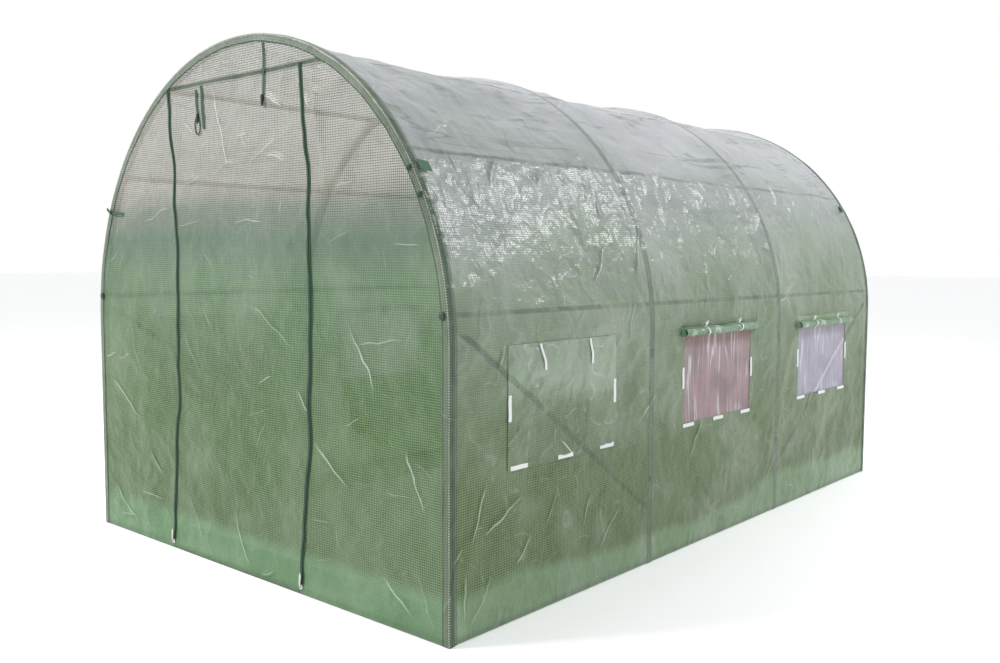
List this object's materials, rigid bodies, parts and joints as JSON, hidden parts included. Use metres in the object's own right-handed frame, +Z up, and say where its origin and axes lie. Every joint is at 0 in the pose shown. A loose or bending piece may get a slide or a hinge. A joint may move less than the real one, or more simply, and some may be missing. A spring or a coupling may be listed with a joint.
{
  "type": "polytunnel greenhouse",
  "caption": "Walk-in polytunnel greenhouse: round-topped tube hoops and purlins under a translucent reinforced film cover, with a zipped door and roll-up mesh windows along both sides.",
  "frame": {"origin": "on the ground, midway between both sides and both ends", "axes": "+Z up, -Y towards the door end, +X to the right seen from the door end"},
  "size_m": [2.0584, 3.1354, 1.8524],
  "materials": {
    "tube": "dark green powder coat, satin",
    "fitting": "dark moulded sockets, matt",
    "film": "translucent green reinforced film with a woven grid",
    "binding": "dark green woven tape",
    "zip": "dark green tape and teeth",
    "bright_metal": "bright metal",
    "mesh": "fine pale insect mesh",
    "white_tape": "white woven tape"
  },
  "bodies": {
    "root": {"left_legs": "tube", "right_legs": "tube", "front_arch": "tube", "second_arch": "tube", "third_arch": "tube", "rear_arch": "tube", "base_rails": "tube", "mid_rails": "tube", "shoulder_purlins": "tube", "upper_purlins": "tube", "header_bars": "tube", "braces": "tube", "base_corners": "fitting", "base_tees": "fitting", "end_hoop_fittings": "fitting", "inner_hoop_fittings": "fitting", "brace_clamps": "fitting", "left_wall_cover": "film", "right_wall_cover": "film", "left_eave_cover": "film", "left_roof_cover": "film", "ridge_cover": "film", "right_roof_cover": "film", "right_eave_cover": "film", "front_left_panel": "film", "front_right_panel": "film", "front_gable": "film", "door_flap": "film", "rear_panel": "film", "ground_skirts": "film", "left_window_flaps": "film", "right_window_flaps": "film", "front_binding": "binding", "rear_binding": "binding", "door_straps": "binding", "strap_toggles": "binding", "door_zips": "zip", "zip_pulls": "bright_metal", "left_window_meshes": "mesh", "right_window_meshes": "mesh", "window_ties": "white_tape", "window_strips": "white_tape"}
  },
  "joints": []
}
